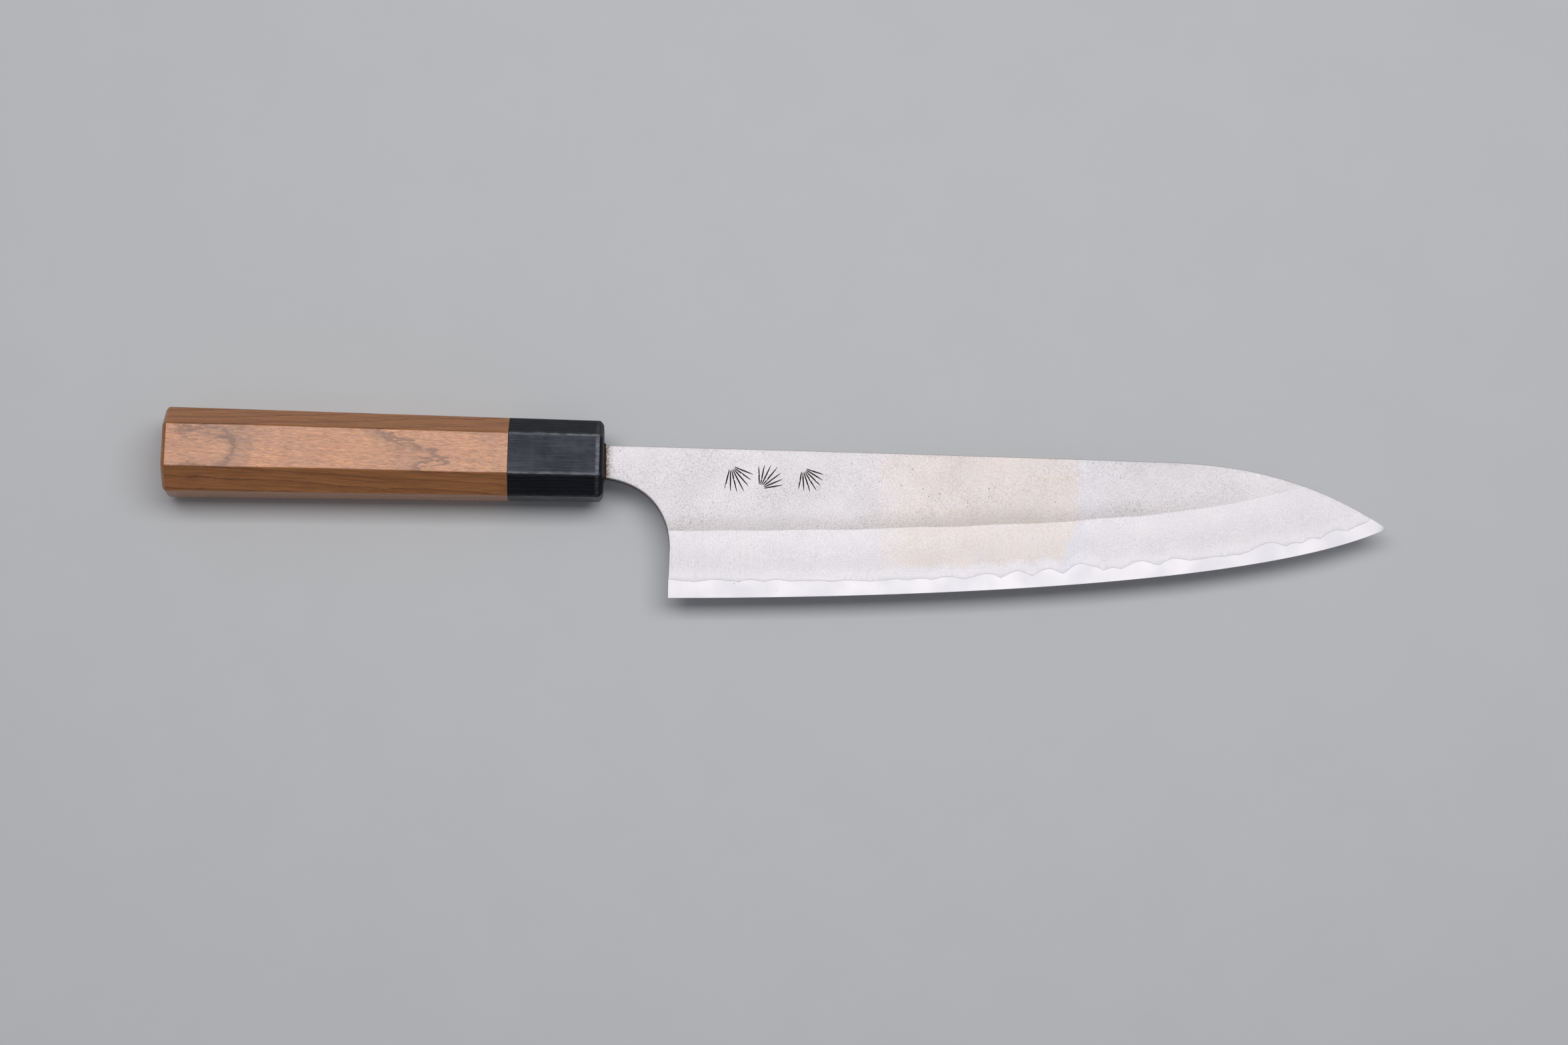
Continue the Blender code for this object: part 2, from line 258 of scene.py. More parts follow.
def inside(polygon, x, y):
    """Whether a point lies within a polygon, an array of corners."""
    a, b = polygon, np.roll(polygon, -1, axis=0)
    spans = (a[:, 1] > y) != (b[:, 1] > y)
    rise = np.where(spans, b[:, 1] - a[:, 1], 1.0)
    crossing = a[:, 0] + (y - a[:, 1]) / rise * (b[:, 0] - a[:, 0])
    return bool(np.count_nonzero(spans & (crossing > x)) % 2)


def triangulated(outline, creases, extra):
    """Flat points and triangles inside an outline, with creases along given lines and extra points."""
    points = [Vector(p) for p in outline]
    border = [list(range(len(points)))]
    folds = []
    for crease in creases:
        first = len(points)
        points += [Vector(p) for p in crease]
        folds += [(i, i + 1) for i in range(first, len(points) - 1)]
    points += [Vector(p) for p in extra]
    flat, _, triangles, *_ = delaunay_2d_cdt(points, folds, border, 1, MERGE_DISTANCE)
    kept = sorted({i for t in triangles for i in t})
    place = {old: new for new, old in enumerate(kept)}
    return [flat[i] for i in kept], [tuple(place[i] for i in t) for t in triangles]


def border_loop(triangles):
    """The outer edge of a patch of triangles, as one ring of point numbers."""
    sides = {(t[i], t[(i + 1) % 3]) for t in triangles for i in range(3)}
    follows = {a: b for a, b in sides if (b, a) not in sides}
    ring = [next(iter(follows))]
    while follows[ring[-1]] != ring[0]:
        ring.append(follows[ring[-1]])
    return ring


def walls(first, second):
    """Faces between two rings of point numbers of the same length."""
    size = len(first)
    return [(first[i], second[i], second[(i + 1) % size], first[(i + 1) % size]) for i in range(size)]


def moved_in(points, distances):
    """A closed outline moved inwards, each corner by its own distance."""
    p = np.array([tuple(q) for q in points])
    before, after = p - np.roll(p, 1, axis=0), np.roll(p, -1, axis=0) - p
    before /= np.linalg.norm(before, axis=1)[:, None]
    after /= np.linalg.norm(after, axis=1)[:, None]
    inward = np.stack([-(before + after)[:, 1], (before + after)[:, 0]], axis=1)
    inward /= np.linalg.norm(inward, axis=1)[:, None]
    widen = 1 / np.maximum(0.5, inward[:, 0] * -after[:, 1] + inward[:, 1] * after[:, 0])
    return p + inward * (np.array(distances) * widen)[:, None]


# ---------------------------------------------------------------- blade


def pine_fans():
    """The strokes of the pine-needle fans, a plain ornament, as (start, end) in X and Y."""
    strokes = []
    for x, y, facing, needles, reach in FANS:
        for k in range(needles):
            angle = math.radians(facing + FAN_SPREAD * (k / (needles - 1) - 0.5))
            away = Vector((math.cos(angle), math.sin(angle)))
            length = reach * (1 - FAN_ROUNDNESS * abs(2 * k / (needles - 1) - 1))
            strokes.append((Vector((x, y)) + away * FAN_HOLE, Vector((x, y)) + away * length))
    return strokes


def needle_lines(start, end):
    """One side, the bottom and the other side of a chisel cut that tapers to its end."""
    along = end - start
    across = Vector((-along.y, along.x)).normalized()
    sides = ([], [], [])
    for k in range(NEEDLE_STEPS + 1):
        t = k / NEEDLE_STEPS
        half = NEEDLE_HALF * (0.12 + 0.88 * math.sin(math.pi * min(1.0, 0.15 + 0.85 * t)) ** 0.6)
        middle = start + along * t
        for line, shift in zip(sides, (-half, 0.0, half)):
            line.append(middle + across * shift)
    return sides


def needle_depths(strokes):
    """How deep the points on the bottoms of the cuts lie, as a share, by their rounded place."""
    depths = {}
    for start, end in strokes:
        _, bottom, _ = needle_lines(start, end)
        for k, p in enumerate(bottom):
            deep = math.sin(math.pi * k / NEEDLE_STEPS) ** 0.5 if 0 < k < NEEDLE_STEPS else 0.0
            depths[(round(p.x, 2), round(p.y, 2))] = deep
    return depths


def cladding_outline():
    """A cladding's outline and, for each of its points, the radius that rounds it."""
    lower = line_points(LINE_GAP, 0.0)
    spine = [p for p in SPINE[::-1] if p[0] < lower[-1][0] - 0.2]
    heel = [(EDGE[0][0], y) for y in np.linspace(CHOIL[3][1], lower[0].y, 14)[1:-1]]
    parts = [
        (spine, SPINE_ROUND),
        (tang_outline(), LEAST_ROUND),
        (CHOIL_POINTS, CHOIL_ROUND),
        (heel, HEEL_ROUND),
        (lower, LEAST_ROUND),
    ]
    outline, radii = [], []
    for points, wanted in parts:
        for p in points:
            if outline and math.dist(p, outline[-1]) < 0.05:
                continue
            body = side_half(*p) - plane_value(CORE_PLANE, *p) - LAMINATE_GAP
            outline.append(tuple(p))
            radii.append(max(THINNEST_ROUND, min(wanted, ROUND_SHARE * body)))
    return outline, radii


def rounding_rings(outline, radii):
    """The outline moved in step by step, as (points, sine of the rounding's angle), outermost first."""
    rings = []
    for k in range(ROUND_STEPS + 1):
        angle = math.pi / 2 * k / ROUND_STEPS
        rings.append((moved_in(outline, [r * (1 - math.cos(angle)) for r in radii]), math.sin(angle)))
    return rings


def mark_ridge_sharp(mesh):
    """Keeps a crisp crease along the ridge, where the flat side turns into the bevel."""
    low, high = CREASE_REACH
    for edge in mesh.edges:
        ends = [mesh.vertices[i].co / MM for i in edge.vertices]
        if all(low < p.x < high and abs(p.y - ridge_height(p.x)) < CREASE_SLACK for p in ends):
            edge.use_edge_sharp = True


def make_cladding(name, side, material, strokes):
    """One of the blade's two outer layers: side is 1 for the right one and -1 for the left one."""
    outline, radii = cladding_outline()
    rings = rounding_rings(outline, radii)
    inner = rings[-1][0]
    ridge = [
        (x, ridge_height(x))
        for x in np.arange(EDGE[0][0], RIDGE_END, RIDGE_STEP)
        if inside(inner, x - 0.3, ridge_height(x) + 0.1)
    ]
    creases = [ridge]
    for start, end in strokes:
        creases += needle_lines(start, end)
    low, high = inner.min(axis=0), inner.max(axis=0)
    fill = [p for p in fill_points((0.5, low[1]), high) if inside(inner, *p)]
    flat, triangles = triangulated(inner, creases, fill)
    depths = needle_depths(strokes)

    def cut(x, y):
        """How deep the ornament is cut here, as a share."""
        return depths.get((round(x, 2), round(y, 2)), 0.0)

    vertices = [(x, y, side * (side_half(x, y) - NEEDLE_DEPTH * cut(x, y))) for x, y in flat]
    faces = list(triangles)
    previous = border_loop(triangles)
    nearest = [
        int(np.argmin(((inner - np.array(tuple(flat[i]))) ** 2).sum(axis=1)))
        for i in previous
    ]
    for points, sine in reversed(rings[:-1]):
        current = list(range(len(vertices), len(vertices) + len(previous)))
        for j in nearest:
            vertices.append((*points[j], side * (side_half(*inner[j]) - radii[j] * (1 - sine))))
        faces += walls(previous, current)
        previous = current
    _, under = triangulated([vertices[i][:2] for i in previous], [], [])
    base = list(range(len(vertices), len(vertices) + len(previous)))
    for i in previous:
        x, y, _ = vertices[i]
        vertices.append((x, y, side * (plane_value(CORE_PLANE, x, y) + LAMINATE_GAP)))
    faces += walls(previous, base)
    faces += [tuple(base[i] for i in t) for t in under]
    cladding = new_piece(name + "_sheet", vertices, faces, name)
    cladding.data.set_sharp_from_angle(angle=math.radians(BLADE_CREASE))
    mark_ridge_sharp(cladding.data)
    add_values(cladding, "ridge", lambda x, y: y - ridge_height(x))
    add_values(cladding, "line", lambda x, y: y - line_height(x) if x > 15 else 20.0)
    add_values(cladding, "mark", cut)
    cladding.data.materials.append(material)


def make_core(material):
    """The hard core: a thin plate that comes out below the lamination line as the edge."""

    def top(x, y):
        """Half thickness: the plain core under the claddings, the whole blade below the line."""
        if y > line_height(x) + LINE_STEP / 2:
            return plane_value(CORE_PLANE, x, y)
        return side_half(x, y)

    outline = [*SPINE[::-1], *tang_outline(), *CHOIL_POINTS, *EDGE_POINTS]
    creases = [line_points(0.0, 1.5), line_points(LINE_STEP, 1.5)]
    row_places = np.arange(EDGE[0][0] + 0.4, CORE_ROWS_END, CORE_ROW_STEP)
    for rise in CORE_ROWS:
        creases.append([(x, height_on(EDGE_POINTS, x) + rise) for x in row_places])
    flat, triangles = triangulated(outline, creases, [])
    count = len(flat)
    vertices = [(x, y, top(x, y)) for x, y in flat] + [(x, y, -top(x, y)) for x, y in flat]
    ring = border_loop(triangles)
    faces = list(triangles) + [tuple(i + count for i in reversed(t)) for t in triangles]
    for a in range(len(ring)):
        b = (a + 1) % len(ring)
        faces.append((ring[b], ring[a], ring[a] + count, ring[b] + count))
    core = new_piece("hard_core", vertices, faces, "blade_core")
    core.data.set_sharp_from_angle(angle=math.radians(BLADE_CREASE))
    add_values(core, "line", lambda x, y: y - line_height(x))
    core.data.materials.append(material)


# ---------------------------------------------------------------- handle

BUTT = {"width": 24.9, "thickness": 21.1, "corner": 6.05}
FRONT = {"width": 22.7, "thickness": 17.9, "corner": 5.35}
HANDLE_LENGTH = 126.8
FILLET_STEPS = 4
# How far beside each rounded edge the handle's sections get extra points; on the ferrule the painted
# highlight fades out over this strip.
EDGE_STRIP_WIDTH = 0.7
WOOD_FILLET, FERRULE_FILLET = 0.8, 0.4
BORE_RADIUS, WOOD_BORE_END, FERRULE_BORE_END = 7.15, -90.5, -9.5
SLOT_HALF_HEIGHT, SLOT_HALF_WIDTH = 5.9, 2.4
BUTT_DOME = 0.18

# Angles above which an edge is sharp, in degrees.
HANDLE_CREASE, SEAL_CREASE = 35, 50


def section(x):
    """Width, thickness and corner size of the handle at x."""
    share = -x / HANDLE_LENGTH
    return [FRONT[key] + (BUTT[key] - FRONT[key]) * share for key in ("width", "thickness", "corner")]


def octagon_ring(x, inset, fillet):
    """The handle's section at x, moved in by a bevel, its corners hand-cut and its eight edges rounded."""
    width, thickness, corner = section(x)
    corner -= inset * (2 - math.sqrt(2))
    half_y, half_z = width / 2 - inset, thickness / 2 - inset
    reach = fillet * math.tan(math.radians(22.5))
    wobble = [waves(x, ((0.16, 23, 2.5 + k), (0.05, 6, 7.5 + k))) for k in range(4)]
    corners = []
    for k, (sy, sz) in enumerate(((1, 1), (-1, 1), (-1, -1), (1, -1))):
        leg = corner + wobble[k]
        side_point = (sy * half_y, sz * (half_z - leg))
        flat_point = (sy * (half_y - leg), sz * half_z)
        corners += [side_point, flat_point] if sy * sz > 0 else [flat_point, side_point]
    ring = []
    for k, point in enumerate(corners):
        here = Vector(point)
        back = (Vector(corners[k - 1]) - here).normalized()
        onward = (Vector(corners[(k + 1) % 8]) - here).normalized()
        enter = here + back * reach
        leave = here + onward * reach
        arc = [i / FILLET_STEPS for i in range(FILLET_STEPS + 1)]
        points = [enter * (1 - t) ** 2 + here * 2 * t * (1 - t) + leave * t**2 for t in arc]
        points.insert(0, enter + back * EDGE_STRIP_WIDTH)
        points.append(leave + onward * EDGE_STRIP_WIDTH)
        ring += [(x, p.x, p.y) for p in points]
    return ring


def highlight_shares(count):
    """How much painted highlight the points of count rings get: fully on the rounded edges, none beside
    them.
    """
    return ([0.0] + [1.0] * (FILLET_STEPS + 1) + [0.0]) * 8 * count


def matched_ring(x, ring, reach):
    """A ring at x, reach(angle) from the axis, with its points in the directions of another ring's."""
    result = []
    for _, y, z in ring:
        angle = math.atan2(z, y)
        result.append((x, math.cos(angle) * reach(angle), math.sin(angle) * reach(angle)))
    return result


def squared_reach(angle, half_y, half_z, squareness):
    """How far a rounded rectangle reaches from its middle."""
    y, z = abs(math.cos(angle) / half_y), abs(math.sin(angle) / half_z)
    return (y**squareness + z**squareness) ** (-1 / squareness)


def loft(rings, closed):
    """Points and faces through rings of equal size.

    closed joins the last ring to the first one. Otherwise both ends are capped.
    """
    size, faces = len(rings[0]), []
    pairs = list(zip(range(len(rings)), range(1, len(rings))))
    if closed:
        pairs.append((len(rings) - 1, 0))
    else:
        last = size * (len(rings) - 1)
        faces += [tuple(range(size)), tuple(range(last + size - 1, last - 1, -1))]
    for r, s in pairs:
        faces += walls(range(r * size, (r + 1) * size), range(s * size, (s + 1) * size))
    return [p for ring in rings for p in ring], faces


def eased_ends(x, bevel, rounding, direction):
    """(x, inset) pairs of a bevelled end with softened corners, from the end face to the full section."""
    steps = [
        (0.0, bevel + rounding),
        (0.02 * bevel, bevel + 0.45 * rounding),
        (0.12 * bevel, bevel),
        (bevel * 0.5, bevel * 0.48),
        (bevel * 0.9, bevel * 0.12),
        (bevel * 1.12, 0.02),
        (bevel * 1.4, 0.0),
    ]
    return [(x + direction * a, b) for a, b in steps]


def weight_normals(obj):
    """Keeps wide faces flat-looking beside their rounded edges."""
    modifier = obj.modifiers.new("flat_faces", "WEIGHTED_NORMAL")
    modifier.mode = "FACE_AREA"
    modifier.weight = 80
    modifier.keep_sharp = True


def make_handle_body(material):
    """The wooden octagon, bored from the front for the dowel, with a slightly domed butt."""
    front = (BODY_HIGH.x - KNIFE.x) / MM
    back = (BODY_LOW.x - KNIFE.x) / MM
    rings = [octagon_ring(x, inset, WOOD_FILLET) for x, inset in eased_ends(back, 1.0, 0.8, 1)]
    rings += [octagon_ring(x, 0.0, WOOD_FILLET) for x in np.linspace(back + 2.4, front - 0.4, 60)]
    rings += [octagon_ring(front - 0.06, 0.0, WOOD_FILLET), octagon_ring(front, 0.05, WOOD_FILLET)]
    bore = matched_ring(front, rings[-1], lambda angle: BORE_RADIUS)
    rings += [bore, [(WOOD_BORE_END, y, z) for _, y, z in bore]]
    dome = [(back, y * 0.5, z * 0.5) for _, y, z in rings[0]]
    rings[0] = [(back + BUTT_DOME, y, z) for _, y, z in rings[0]]
    vertices, faces = loft([dome, *rings], False)
    body = new_piece("cherry_body", vertices, faces, "handle_body")
    body.data.set_sharp_from_angle(angle=math.radians(HANDLE_CREASE))
    weight_normals(body)
    body.data.materials.append(material)


def make_ferrule(material):
    """The black collar, bored from behind for the dowel, with a slot for the tang in front."""
    back = (FERRULE_LOW.x - KNIFE.x) / MM
    rings = [octagon_ring(x, inset, FERRULE_FILLET) for x, inset in eased_ends(0.0, 1.1, 0.5, -1)]
    rings += [octagon_ring(x, 0.0, FERRULE_FILLET) for x in np.linspace(-2.4, back + 0.4, 18)]
    rings += [octagon_ring(back + 0.06, 0.0, FERRULE_FILLET), octagon_ring(back, 0.05, FERRULE_FILLET)]
    bore = matched_ring(back, rings[-1], lambda angle: BORE_RADIUS)
    rings += [bore, [(FERRULE_BORE_END, y, z) for _, y, z in bore]]
    slot = matched_ring(
        FERRULE_BORE_END,
        rings[0],
        lambda angle: squared_reach(angle, SLOT_HALF_HEIGHT, SLOT_HALF_WIDTH, 4),
    )
    rings += [slot, [(0.0, y, z) for _, y, z in slot]]
    vertices, faces = loft(rings, True)
    ferrule = new_piece("black_collar", vertices, faces, "ferrule")
    # Painted highlight along the ferrule's rounded edges, stored on its points for its material.
    edge_highlight = ferrule.data.attributes.new("painted_highlight", "FLOAT", "POINT")
    edge_highlight.data.foreach_set("value", highlight_shares(len(rings)))
    ferrule.data.set_sharp_from_angle(angle=math.radians(HANDLE_CREASE))
    weight_normals(ferrule)
    ferrule.data.materials.append(material)


# The resin bead's cross section as (x, distance out from a rounded rectangle inside it), from
# inside the mouth to the blade.
SEAL_PROFILE = [
    (-4.0, 0.62),
    (-0.4, 0.62),
    (0.03, 0.60),
    (0.10, 0.86),
    (0.22, 0.88),
    (0.42, 0.66),
    (0.66, 0.34),
    (0.86, 0.10),
    (0.84, -0.12),
]
SEAL_AROUND, SEAL_FRONT = 96, 0.9
SEAL_MIDDLE, SEAL_HALF_HEIGHT, SEAL_HALF_WIDTH = -0.36, 4.85, 1.6


def make_mouth_seal(material):
    """The bead of dark resin that fills the ferrule's mouth and creeps a little way up the neck."""
    rings = []
    for x, out in SEAL_PROFILE:
        ring = []
        for i in range(SEAL_AROUND):
            angle = math.tau * i / SEAL_AROUND
            c, s = math.cos(angle), math.sin(angle)
            reach = squared_reach(angle, SEAL_HALF_HEIGHT, SEAL_HALF_WIDTH, 6)
            wave = noise.noise(Vector((c * 2.4, s * 2.4, 1.7)))
            wave += 0.6 * noise.noise(Vector((c * 6, s * 6, 4.7)))
            creep = max(0.0, x) * 0.34 * wave
            grow = out * (1 + 0.22 * wave) if x > 0.05 else out
            ring.append((min(x + creep, SEAL_FRONT), SEAL_MIDDLE + c * (reach + grow), s * (reach + grow)))
        rings.append(ring)
    rings.append([(x, SEAL_MIDDLE + (y - SEAL_MIDDLE) * 0.86, z * 0.8) for x, y, z in rings[-1]])
    rings.append([(SEAL_PROFILE[0][0], y, z) for _, y, z in rings[-1]])
    vertices, faces = loft(rings, True)
    seal = new_piece("resin_bead", vertices, faces, "mouth_seal")
    seal.data.set_sharp_from_angle(angle=math.radians(SEAL_CREASE))
    seal.data.materials.append(material)


# ---------------------------------------------------------------- materials


class Graph:
    """A short way to write a material's nodes: each call adds a node and returns its output."""

    def __init__(self, name):
        """A new material with a Principled shader, whose places are the piece's own."""
        self.material = bpy.data.materials.new(name)
        self.material.use_nodes = True
        self.tree = self.material.node_tree
        self.shader = self.tree.nodes["Principled BSDF"]
        self.place = self.add("ShaderNodeTexCoord").outputs["Object"]

    def add(self, kind, **settings):
        """A new node with these settings."""
        made = self.tree.nodes.new(kind)
        for key, value in settings.items():
            setattr(made, key, value)
        return made

    def put(self, value, socket):
        """Links a socket to another, or sets its plain value. A colour of three numbers gets its fourth."""
        if isinstance(value, bpy.types.NodeSocket):
            self.tree.links.new(value, socket)
        elif isinstance(value, tuple) and len(value) == 3 and len(socket.default_value) == 4:
            socket.default_value = (*value, 1.0)
        else:
            socket.default_value = value

    def place_x(self):
        """Distance along the knife, in millimetres."""
        return self.split(self.millimetres())[0]

    def shaded_walls(self):
        """1 on the faces that look back or down, such as the choil, and 0 on the blade's flat sides: where
        painted shade goes.
        """
        x, y, z = self.split(self.add("ShaderNodeNewGeometry").outputs["Normal"])
        upright = self.ease(self.math("ABSOLUTE", z), 0.25, 0.7, 1.0, 0.0)
        return self.times(upright, self.ease(self.plus(x, y), -0.9, -0.3, 1.0, 0.0))

    def times(self, first, second):
        """The product of two numbers or sockets."""
        return self.math("MULTIPLY", first, second)

    def plus(self, first, second):
        """The sum of two numbers or sockets."""
        return self.math("ADD", first, second)

    def math(self, operation, *values):
        """The result of a Math node, such as SUBTRACT or ABSOLUTE."""
        made = self.add("ShaderNodeMath", operation=operation)
        for value, socket in zip(values, made.inputs):
            self.put(value, socket)
        return made.outputs[0]

    def value(self, name):
        """A number stored on the mesh's vertices."""
        return self.add("ShaderNodeAttribute", attribute_name=name).outputs["Fac"]

    def millimetres(self, stretch=(1, 1, 1), origin=(0, 0, 0), turn=(0, 0, 0)):
        """The place on the piece in millimetres from origin, turned, with each axis then stretched."""
        made = self.add("ShaderNodeMapping", vector_type="TEXTURE")
        self.put(self.place, made.inputs["Vector"])
        made.inputs["Location"].default_value = [MM * d for d in origin]
        made.inputs["Rotation"].default_value = [math.radians(-a) for a in turn]
        made.inputs["Scale"].default_value = [MM / s for s in stretch]
        return made.outputs[0]

    def split(self, place):
        """The X, Y and Z of a place."""
        made = self.add("ShaderNodeSeparateXYZ")
        self.put(place, made.inputs[0])
        return made.outputs

    def join(self, x, y, z):
        """A place made of three numbers or sockets."""
        made = self.add("ShaderNodeCombineXYZ")
        for value, socket in zip((x, y, z), made.inputs):
            self.put(value, socket)
        return made.outputs[0]

    def noise(self, place, scale, detail, roughness):
        """Cloudy noise around 0.5. A larger scale makes it finer."""
        made = self.add("ShaderNodeTexNoise")
        self.put(place, made.inputs["Vector"])
        made.inputs["Scale"].default_value = scale
        made.inputs["Detail"].default_value = detail
        made.inputs["Roughness"].default_value = roughness
        return made.outputs["Fac"]

    def cells(self, place, scale):
        """(distance to the nearest random point, that point's random number)."""
        made = self.add("ShaderNodeTexVoronoi")
        self.put(place, made.inputs["Vector"])
        made.inputs["Scale"].default_value = scale
        split = self.add("ShaderNodeSeparateColor")
        self.put(made.outputs["Color"], split.inputs[0])
        return made.outputs["Distance"], split.outputs[0]

    def ease(self, value, low, high, start=0.0, end=1.0):
        """Goes smoothly from start to end while value goes from low to high."""
        made = self.add("ShaderNodeMapRange", interpolation_type="SMOOTHSTEP")
        for socket, number in zip(made.inputs, (value, low, high, start, end)):
            self.put(number, socket)
        return made.outputs[0]

    def mix(self, share, first, second, blend="MIX"):
        """first where share is 0 and second, blended in, where it is 1."""
        made = self.add("ShaderNodeMix", data_type="RGBA", blend_type=blend, clamp_factor=True)
        self.put(share, made.inputs[0])
        self.put(first, made.inputs[6])
        self.put(second, made.inputs[7])
        return made.outputs[2]

    def bump(self, height, strength, distance):
        """A normal that follows a height, which is multiplied by distance in metres."""
        made = self.add("ShaderNodeBump")
        made.inputs["Strength"].default_value = strength
        made.inputs["Distance"].default_value = distance
        self.put(height, made.inputs["Height"])
        return made.outputs[0]

    def finish(self, colour, roughness, normal=None, metallic=0.0, specular=0.5):
        """Sets the shader and returns the material."""
        self.put(colour, self.shader.inputs["Base Color"])
        self.put(roughness, self.shader.inputs["Roughness"])
        self.put(metallic, self.shader.inputs["Metallic"])
        self.shader.inputs["Specular IOR Level"].default_value = specular
        if normal:
            self.put(normal, self.shader.inputs["Normal"])
        return self.material


# Painted shade for the blade's walls that look back or down, such as the choil: its colour and how fully it
# covers them.
CHOIL_SHADE_TONE, CHOIL_SHADE_SHARE = (0.07, 0.052, 0.042), 0.96
STAIN_TONE, CUT_TONE = (0.16, 0.095, 0.06), (0.035, 0.028, 0.024)
# Painted reflections on the blade's sides: a cool tint, a warm tint, and where the warm patch starts and
# ends along X.
COOL_REFLECTION_TINT, WARM_REFLECTION_TINT = (0.93, 0.96, 1.0), (1.0, 0.94, 0.87)
PATCH_START, PATCH_END = 83.0, 139.0


def pear_skin(g, mm, x, ridge):
    """The mottled skin above the ridge: its colour, with painted shade just above the ridge, its grain and
    its relief.
    """
    grain = g.noise(mm, 3.9, 2.0, 0.60)
    soft_grain = g.noise(mm, 1.7, 2.0, 0.6)
    patches = g.noise(mm, 0.055, 3.0, 0.6)
    near_ridge = g.times(g.ease(ridge, -0.5, 6.5, 1.0, 0.0), g.ease(x, 145.0, 202.0, 1.0, 0.15))
    near_neck = g.ease(x, 0.5, 11.0, 1.0, 0.0)
    crowding = g.plus(g.times(near_ridge, 0.04), g.ease(patches, 0.35, 0.7, -0.03, 0.035))
    crowding = g.plus(crowding, g.times(near_neck, 0.045))
    speck = g.ease(g.plus(grain, crowding), 0.615, 0.705)
    spot_distance, spot_number = g.cells(mm, 0.62)
    spot = g.times(g.ease(spot_distance, 0.07, 0.15, 1.0, 0.0), g.ease(spot_number, 0.84, 0.88))
    colour = g.mix(g.ease(patches, 0.3, 0.7), (0.765, 0.725, 0.745), (0.70, 0.665, 0.68))
    colour = g.mix(g.ease(soft_grain, 0.38, 0.68, 0.0, 0.27), colour, (0.50, 0.47, 0.47))
    # Painted shade: the skin darkens just above the ridge, where the flat side turns into the bevel, less
    # towards the tip.
    colour = g.mix(g.times(near_ridge, 0.48), colour, (0.47, 0.435, 0.42))
    colour = g.mix(g.times(speck, 0.50), colour, (0.25, 0.22, 0.20))
    colour = g.mix(g.times(spot, 0.7), colour, (0.13, 0.11, 0.10))
    pits = g.plus(g.times(speck, -1.0), g.times(spot, -1.5))
    return colour, grain, g.plus(pits, g.plus(grain, soft_grain))


def ground_steel(g, mm, x, ridge, line):
    """The satin bevel below the ridge: its colour and its fine streaks across the blade."""
    lines_across = g.noise(g.millimetres((2.8, 0.09, 1)), 1.0, 2.0, 0.6)
    streaks = g.times(lines_across, g.ease(x, 45.0, 80.0, 1.0, 0.86))
    fine = g.noise(mm, 2.2, 3.0, 0.65)
    haze = g.noise(mm, 0.10, 3.0, 0.6)
    middle = g.times(g.ease(ridge, -9.0, -2.0, 1.0, 0.0), g.ease(line, 1.5, 5.0))
    colour = g.mix(g.ease(haze, 0.3, 0.7), (0.88, 0.84, 0.86), (0.84, 0.805, 0.83))
    colour = g.mix(g.times(middle, 0.20), colour, (0.66, 0.635, 0.66))
    colour = g.mix(g.ease(streaks, 0.45, 0.75, 0.0, 0.20), colour, (0.60, 0.575, 0.59))
    colour = g.mix(g.ease(fine, 0.44, 0.70, 0.0, 0.24), colour, (0.50, 0.48, 0.49))
    colour = g.mix(g.ease(line, 0.1, 3.4, 0.70, 0.0), colour, (0.87, 0.84, 0.865))
    return colour, streaks


def painted_reflections(g, mm, x, ridge, line, colour):
    """Painted reflections: a faint warm patch over the middle of the blade, and cooler steel in front of
    it.
    """
    ragged = g.times(g.math("SUBTRACT", g.noise(mm, 0.22, 3.0, 0.6), 0.5), 9.0)
    slant = g.math("SUBTRACT", x, g.times(g.math("MINIMUM", ridge, 0.0), 0.45))
    from_rear = g.ease(g.plus(x, ragged), PATCH_START - 7, PATCH_START + 9)
    front_place = g.plus(slant, g.times(ragged, 0.10))
    to_front = g.ease(front_place, PATCH_END - 1.4, PATCH_END + 1.4, 1.0, 0.0)
    low_edge = g.ease(g.plus(line, g.times(ragged, 0.5)), 2.0, 4.5)
    warm = g.times(g.times(from_rear, to_front), low_edge)
    fading = g.ease(slant, PATCH_END, PATCH_END + 14, 0.8, 0.0)
    cool = g.times(fading, g.ease(slant, PATCH_END - 1, PATCH_END + 1))
    colour = g.mix(g.times(cool, 0.6), colour, COOL_REFLECTION_TINT, "MULTIPLY")
    mottled = g.ease(g.noise(mm, 0.16, 3.0, 0.6), 0.35, 0.65, 0.55, 0.90)
    return g.mix(g.times(warm, mottled), colour, WARM_REFLECTION_TINT, "MULTIPLY")


